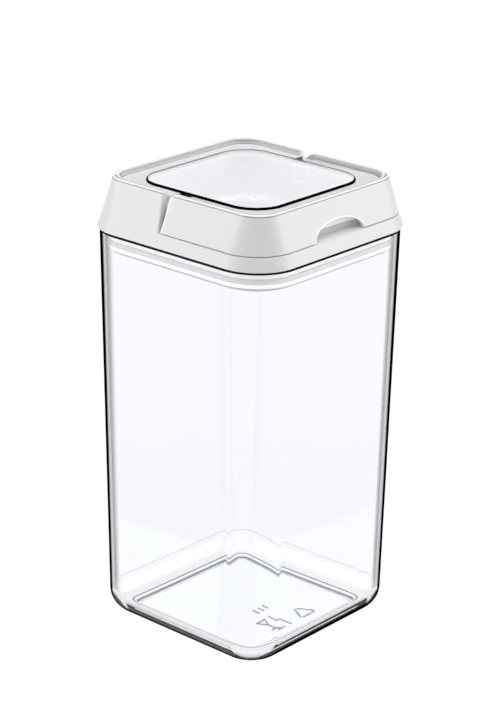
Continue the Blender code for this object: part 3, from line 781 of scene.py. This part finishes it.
def underside_of_frame(floor_edge):
    """From the floor inward, round the plug skirt and back to the foot of the band."""
    floor_bottom = BAND_TOP - SHEET
    opening = nested(WELL_ARC, [(38.85, BAND_TOP), (38.85, floor_bottom)])
    skirt_profile = [
        (46.9, floor_bottom),
        (46.9, SKIRT_BOTTOM),
        (49.2, SKIRT_BOTTOM),
        (49.3, LID_BOTTOM),
    ]
    skirt = nested(PLUG_ARC, skirt_profile)
    foot = [(52.8, 20.0, LID_BOTTOM), (53.05, 20.25, LID_BOTTOM + 0.25), (52.95, 20.18, LID_BOTTOM + 0.55)]
    return soften([floor_edge] + opening + skirt + foot, 0.3, closed=False)


def make_frame():
    """Band, floor and plug skirt all round, with the sloping rim standing on the rear half."""
    edge = band_edge()
    lower = edge[1:] + underside_of_frame(edge[-1])[1:]
    rim_end = len(edge) - 2
    inner_top = [(42.9, 10.7, DECK_TOP - SHEET), (44.6, 11.6, DECK_TOP - SHEET), edge[-1]]
    rim = soften(crest(edge[1], inner_top), 0.35, closed=False)[1:-1]
    rim_slots = [crest_slots([edge[1]] + rim + [edge[-1]], near, closed=False) for near in (False, True)]
    # the skirt's strips at the lid's bottom take a painted glow
    skirt_slots = []
    for low, high in zip(lower, lower[1:] + lower[:1]):
        on_skirt = min(low[0], high[0]) > 49 and max(low[2], high[2]) < LID_BOTTOM + 0.1 and max(low[0], high[0]) < 50
        skirt_slots.append(5 if on_skirt else 0)
    rear = half_ring_places(rear_end, 1, [-31.5, -20, -10, 0, 10, 20, 31.5])
    front = half_ring_places(lambda z: rear_end(z) - 0.1, -1, [-31.5, -20, -10, 0, 10, 20, 31.5])
    insets = end_insets(0.45)
    bm = bmesh.new()
    lower_loops = [add_loop(bm, [(*place(h, r, z), z) for h, r, z in lower]) for place in rear + front]
    rim_loops = []
    last = len(rear) - 1
    for number, place in enumerate(rear):
        near_end = min(number, last - number)
        amount = insets[near_end] if near_end < len(insets) else 0.0
        shape = inset([edge[1]] + rim + [edge[-1]], amount)[1:-1] if amount else rim
        points = []
        for plain, drawn in zip(rim, shape):
            share = min(1.0, max(0.0, (plain[2] - BAND_TOP) / 1.5))
            half, radius, z = Vector(plain).lerp(Vector(drawn), share)
            points.append((*place(half, radius, z), z))
        rim_loops.append(add_loop(bm, points))
    for number, here in enumerate(lower_loops):
        there = lower_loops[(number + 1) % len(lower_loops)]
        on_rear = number < last
        for i in range(len(here)):
            j = (i + 1) % len(here)
            if not (on_rear and i < rim_end):
                face = bm.faces.new((here[i], here[j], there[j], there[i]))
                face.material_index = skirt_slots[i]
        if on_rear:
            here_chain = [here[0]] + rim_loops[number] + [here[rim_end]]
            there_chain = [there[0]] + rim_loops[number + 1] + [there[rim_end]]
            bridge(bm, here_chain, there_chain, rim_slots[is_near_camera(here[0])], closed=False)
    for number in (0, last):
        loop = lower_loops[number]
        cap = bm.faces.new(list(reversed(loop[:rim_end + 1])) + rim_loops[number])
        bmesh.ops.triangulate(bm, faces=[cap], ngon_method="EAR_CLIP")
    bmesh.ops.remove_doubles(bm, verts=bm.verts, dist=1e-7)
    shell = finish_mesh("lid_shell", bm, *RIM_MATERIALS)
    cut_box(shell, "floor_post_slot", POST_SLOT_X, POST_SLOT_Y, (BAND_TOP - SHEET - 1, BAND_TOP + 1))
    return keep_cuts(shell)


def make_end_wall(side, label):
    """The wall that closes the rear rim's hollow end, just behind its edge."""
    low, high = BAND_TOP + 0.02, DECK_TOP - SHEET
    outline = soften([(41.3, 0, low), (48.8, 0, low), (44.75, 0, high), (41.3, 0, high)], 0.3)
    bm = bmesh.new()
    loops = []
    for depth in (0.3, 1.8):
        loops.append(add_loop(bm, [(side * x, rear_end(z) + depth, z) for x, _, z in outline]))
    bridge(bm, *loops)
    bm.faces.new(loops[0])
    bm.faces.new(loops[1])
    return finish_mesh(f"rim_end_wall_{label}", bm, WHITE)


def make_finger_pocket():
    """The low wall behind the finger notch: it curves forward, and has a lip with a groove under it. The wall is in
    painted shade, the groove in darker painted shade and the lip's face in painted light.
    """
    half, middle_y, end_y, thickness = 17.6, -45.0, -47.4, 1.4
    low, high, lip_z, lip, groove = BAND_TOP - 0.5, BAND_TOP + 6.2, BAND_TOP + 3.3, 0.5, 0.45
    profile = [
        (0, low),
        (0, lip_z - groove),
        (0.1, lip_z),
        (-lip, lip_z),
        (-lip, high),
        (thickness, high),
        (thickness, low),
    ]
    # wall in painted shade, groove and the lip's underside in darker painted shade, the lip's face in painted light
    slots = (0, 1, 1, 2, 0, 0, 0)
    steps = 40
    bm = bmesh.new()
    loops = []
    for k in range(steps + 1):
        x = half * (2 * k / steps - 1)
        y = middle_y + (end_y - middle_y) * abs(x / half) ** 3
        loops.append(add_loop(bm, [(x, y + back, z) for back, z in profile]))
    for first, second in zip(loops, loops[1:]):
        bridge(bm, first, second, slots)
    bm.faces.new(loops[0])
    bm.faces.new(loops[-1])
    return finish_mesh("finger_pocket_wall", bm, POCKET_WALL_SHADE, SHADE_GREY, WHITE_POCKET_LIT)


def make_pocket_floor():
    """The floor in front of that wall, in painted light."""
    bm = bmesh.new()
    box_mesh(bm, (-16.5, 16.5), (-50.2, -44.9), (BAND_TOP - 0.2, BAND_TOP + 0.1))
    return finish_mesh("finger_pocket_floor", bm, WHITE_POCKET_LIT)


# ---------------------------------------------------------------- bezel and window

LEDGE = WINDOW_TOP - WINDOW_THICK - 0.3
COLUMN_HALF = 4.2           # half width of the column in the well's wall, beside each pivot
COLUMN_DEPTH = 1.3


def make_bezel():
    shoulder = BAND_TOP + 0.3
    deck = [(42.5, 10.4, DECK_TOP)]
    seat_and_well = nested(WELL_ARC, [
        (WELL_HALF + FIT, DECK_TOP),
        (WELL_HALF + FIT, LEDGE),
        (35.0, LEDGE),
        (35.0, LEDGE - 1.1),
        (WELL_HALF, LEDGE - 2.3),
        (WELL_HALF, SKIRT_BOTTOM + 2),
        (38.5, SKIRT_BOTTOM + 2),
        (38.5, shoulder),
    ])
    shoulder_run = [(41.0, 17.5, shoulder), (41.0, 17.5, shoulder + SHEET)]
    back = nested(WELL_ARC, [(38.5, shoulder + SHEET), (38.5, DECK_TOP - SHEET)])
    section = deck + seat_and_well + shoulder_run + back + [(42.5, 10.4, DECK_TOP - SHEET)]
    # the deck in painted light; the well's inside with a painted glow
    bezel = loft_ring("deck_and_well", soften(section, 0.15, steps=3), WHITE_DECK_LIT, WHITE_WELL_GLOW)
    for face in bezel.data.polygons:
        x, y, z = (abs(value) for value in face.center / MM)
        out = math.hypot(x - WELL_ARC, y - WELL_ARC) + WELL_ARC if min(x, y) > WELL_ARC else max(x, y)
        face.material_index = int(out < WELL_HALF + 1 and z < LEDGE + 0.1)
    cut_box(bezel, "pivot_opening", OPENING_X, OPENING_Y, (OPENING_BOTTOM, DECK_TOP + 1), DEEP_GREY)
    cut_box(bezel, "shoulder_post_slot", POST_SLOT_X, POST_SLOT_Y, (BAND_TOP - 1, BAND_TOP + 4))
    return keep_cuts(bezel)


def make_column(side, label):
    """The shallow column that stands in the well's wall below a pivot."""
    bm = bmesh.new()
    outline = []
    steps = 12
    for k in range(steps + 1):
        turn = math.pi * k / steps
        reach = math.copysign(abs(math.cos(turn)) ** 0.55, math.cos(turn))
        outline.append((WELL_HALF + 0.3 - (COLUMN_DEPTH + 0.3) * math.sin(turn) ** 0.55, PIVOT_Y - COLUMN_HALF * reach))
    heights = [(LEDGE - 9.5, 0.2), (LEDGE - 8.5, 1.0), (LEDGE - 2.6, 1.0), (LEDGE - 2.0, 0.8)]
    loops = []
    for z, depth in heights:
        loops.append(add_loop(bm, [
            (side * (WELL_HALF + 0.3 - (WELL_HALF + 0.3 - x) * depth), y, z) for x, y in outline
        ]))
    for low, high in zip(loops, loops[1:]):
        bridge(bm, low, high)
    bm.faces.new(loops[0])
    bm.faces.new(loops[-1])
    # with the painted glow of the well
    return finish_mesh(f"well_column_{label}", bm, WHITE_WELL_GLOW)


def make_boss(side, label):
    """The bored boss that carries a hinge pin."""
    steps = 48
    near, far = 39.8, 42.5
    profile = soften([(BOSS_RADIUS, near), (BOSS_RADIUS, far), (PIN_HOLE, far), (PIN_HOLE, near)], 0.25)
    bm = bmesh.new()
    loops = []
    for k in range(steps):
        turn = math.tau * k / steps
        points = [(side * x, PIVOT_Y + r * math.cos(turn), PIVOT_Z + r * math.sin(turn)) for r, x in profile]
        loops.append(add_loop(bm, points))
    for first, second in zip(loops, loops[1:] + loops[:1]):
        bridge(bm, first, second)
    return finish_mesh(f"pivot_boss_{label}", bm, WHITE)


def make_top_window():
    """The clear window. Its bevelled edge looks black from in front, and its side grey from within, both in painted
    shade.
    """
    bottom = WINDOW_TOP - WINDOW_THICK
    underside = nested(WELL_ARC, [(WELL_HALF - 0.3, bottom)])
    edge_side = nested(WELL_ARC, [(WELL_HALF, bottom + 0.3), (WELL_HALF, WINDOW_TOP - 0.5)])
    bevel = nested(WELL_ARC, [(WELL_HALF - 0.3, WINDOW_TOP - 0.12), (WELL_HALF - 0.8, WINDOW_TOP)])
    top = nested(WELL_ARC, [(WELL_HALF - 1.6, WINDOW_TOP)])
    runs = [(0, underside), (2, edge_side), (1, bevel), (0, top)]
    return loft_solid("window", runs, CLEAR_FLAT, CLEAR_BEVEL_SHADE, CLEAR_SIDE_SHADE)


# ---------------------------------------------------------------- seal

def make_gasket():
    profile = [
        (46.8, 180.5),
        (48.9, 180.5),
        (49.4, 180.1),
        (49.65, 179.25),
        (49.4, 178.4),
        (48.9, 178.0),
        (46.8, 178.0),
    ]
    # pale silicone with a painted glow
    return loft_ring("gasket", soften(nested(PLUG_ARC, profile), 0.3, steps=3), SILICONE_GLOW)


def make_carrier():
    flange = [(38.0, 12.0, 176.5), (38.0, 12.0, 177.7)]
    outer = nested(PLUG_ARC, [(48.9, 177.7), (48.9, 176.5)])
    wall = nested(PLUG_ARC, [(44.8, 177.7), (44.8, 186.0), (46.5, 186.0), (46.5, 177.7)])
    # with the painted glow of the well
    return loft_ring("seal_ring", soften(outer + flange + wall, 0.2, steps=3), WHITE_WELL_GLOW)


def make_lower_window():
    bottom, top = [(46.9, 174.9)], [(47.2, 176.4)]
    edge = [(47.3, 175.0), (47.4, 175.1), (47.4, 176.3)]
    runs = [(0, nested(PLUG_ARC, bottom)), (1, nested(PLUG_ARC, edge)), (0, nested(PLUG_ARC, top))]
    # the edge in an opaque grey: painted shade
    return loft_solid("lower_plate", runs, CLEAR_FLAT, PLATE_EDGE_SHADE)


# ---------------------------------------------------------------- places

def place_piece(piece, body, slot, *nodes):
    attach(piece, body)
    if nodes:
        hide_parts(*nodes)


def place_gasket():
    """Makes the gasket in place of the model's own; it is not attached to any body."""
    gasket = make_gasket()
    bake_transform(gasket)
    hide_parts("silicone_gasket")


def finish_small_parts():
    """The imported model's own solids that stay: the pins, the posts and the clips."""
    for name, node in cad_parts.items():
        if not node.hide_render:
            node.data.materials.clear()
            # the clips take the painted glow of the well
            node.data.materials.append(WHITE_WELL_GLOW if name.startswith("snap_clip") else WHITE)


place_piece(make_jar(), "jar", "clear_plastic", "jar_body")
place_piece(make_floor_marks(), "jar", "clear_plastic")
place_piece(make_lever(), "lever", "white_plastic", "lever_handle")
place_piece(make_lever_cheeks(), "lever", "white_plastic")
place_piece(make_frame(), "lid", "white_plastic", "lid_frame")
place_piece(make_finger_pocket(), "lid", "white_plastic")
place_piece(make_pocket_floor(), "lid", "white_plastic")
place_piece(make_bezel(), "lid", "white_plastic", "window_bezel")
for side, label in ((-1, "left"), (1, "right")):
    place_piece(make_column(side, label), "lid", "white_plastic")
    place_piece(make_end_wall(side, label), "lid", "white_plastic")
    place_piece(make_boss(side, label), "lid", "white_plastic")
place_piece(make_top_window(), "lid", "clear_plastic", "top_window")
place_piece(make_carrier(), "seal", "white_plastic", "seal_carrier")
place_piece(make_lower_window(), "seal", "clear_plastic", "lower_window")
place_gasket()
finish_small_parts()


# ---------------------------------------------------------------- studio


def seen_or_seen_through(tree):
    """1 for what the camera sees, directly or through clear plastic, and 0 for light that falls on parts."""
    light_path = tree.nodes.new("ShaderNodeLightPath")
    return link_math(tree, "MAXIMUM", light_path.outputs["Is Camera Ray"], light_path.outputs["Is Transmission Ray"])


def make_world():
    world = bpy.data.worlds.new("studio")
    bpy.context.scene.world = world
    world.use_nodes = True
    tree = world.node_tree
    tree.nodes.clear()
    output = tree.nodes.new("ShaderNodeOutputWorld")
    fill = add_node(tree, "ShaderNodeBackground", Color=(1, 1, 1, 1), Strength=0.08)
    backdrop = add_node(tree, "ShaderNodeBackground", Color=(1, 1, 1, 1), Strength=1.05)
    mix = tree.nodes.new("ShaderNodeMixShader")
    tree.links.new(seen_or_seen_through(tree), mix.inputs["Fac"])
    tree.links.new(fill.outputs["Background"], mix.inputs[1])
    tree.links.new(backdrop.outputs["Background"], mix.inputs[2])
    tree.links.new(mix.outputs["Shader"], output.inputs["Surface"])


FLOOR_SEEN = 1.03           # brightness of the floor as the camera sees it, also through clear plastic
FLOOR_GLOW_ON_PARTS = 0.55  # what it adds, as it lights the parts, to the light it scatters back


def make_floor():
    """A plain pale floor: it looks evenly lit, and it lights the parts from below."""
    material, tree, output = new_material("floor_white")
    even = add_node(tree, "ShaderNodeEmission", Color=(1, 1, 1, 1), Strength=FLOOR_SEEN)
    matt = add_node(tree, "ShaderNodeBsdfDiffuse", Color=(0.35, 0.35, 0.35, 1.0))
    glow = add_node(tree, "ShaderNodeEmission", Color=(1, 1, 1, 1), Strength=FLOOR_GLOW_ON_PARTS)
    both = tree.nodes.new("ShaderNodeAddShader")
    tree.links.new(matt.outputs["BSDF"], both.inputs[0])
    tree.links.new(glow.outputs["Emission"], both.inputs[1])
    mix = tree.nodes.new("ShaderNodeMixShader")
    tree.links.new(seen_or_seen_through(tree), mix.inputs["Fac"])
    tree.links.new(both.outputs["Shader"], mix.inputs[1])
    tree.links.new(even.outputs["Emission"], mix.inputs[2])
    tree.links.new(mix.outputs["Shader"], output.inputs["Surface"])
    bm = bmesh.new()
    reach = 8.0
    corners = [(-reach, -reach), (reach, -reach), (reach, reach), (-reach, reach)]
    bm.faces.new([bm.verts.new((x, y, -0.0002)) for x, y in corners])
    floor = finish_mesh("floor", bm, material)


def area_light(name, place, target, size, watts):
    light = bpy.data.lights.new(name, "AREA")
    light.shape = "SQUARE"
    light.size = size
    light.energy = watts
    obj = bpy.data.objects.new(name, light)
    bpy.context.scene.collection.objects.link(obj)
    obj.location = place
    aim = Vector(target) - Vector(place)
    obj.rotation_euler = aim.to_track_quat("-Z", "Y").to_euler()


def make_camera():
    """The camera: where the photograph was taken from, and its aim a little off the middle."""
    azimuth, elevation, distance = math.radians(-48.539), math.radians(22.05), 1.05343
    yaw, pitch, roll = math.radians(-0.207), math.radians(1.084), math.radians(0.751)
    level = math.cos(elevation)
    back = Vector((math.sin(azimuth) * level, -math.cos(azimuth) * level, math.sin(elevation)))
    right = Vector((0, 0, 1)).cross(back).normalized()
    up = back.cross(right)
    forward = math.cos(yaw) * math.cos(pitch) * -back + math.sin(yaw) * math.cos(pitch) * right
    forward += math.sin(pitch) * up
    side = forward.cross(Vector((0, 0, 1))).normalized()
    head = side.cross(forward)
    axis_x = math.cos(roll) * side + math.sin(roll) * head
    axis_y = -math.sin(roll) * side + math.cos(roll) * head
    data = bpy.data.cameras.new("camera")
    data.sensor_width = 36.0
    data.lens = 117.52
    data.clip_start, data.clip_end = 0.05, 40.0
    camera = bpy.data.objects.new("camera", data)
    bpy.context.scene.collection.objects.link(camera)
    turn = Matrix((axis_x, axis_y, -forward)).transposed().to_4x4()
    camera.matrix_world = Matrix.Translation(Vector((0, 0, 0.1)) + back * distance) @ turn
    bpy.context.scene.camera = camera


make_world()
make_floor()
area_light("light_left", (-1.0, 1.0, 0.5), (0, 0, 0.15), 1.0, 8.6)
area_light("light_right", (1.0, -1.0, 0.5), (0, 0, 0.15), 1.0, 9.0)
area_light("light_front", (-1.0, -1.0, 0.6), (0, 0, 0.15), 1.4, 4.3)
area_light("light_top", (0.1, 0.1, 1.6), (0, 0, 0.1), 1.6, 20)
make_camera()

scene = bpy.context.scene
scene.view_settings.view_transform = "Standard"
scene.cycles.max_bounces = 24
scene.cycles.transmission_bounces = 20
scene.cycles.transparent_max_bounces = 16
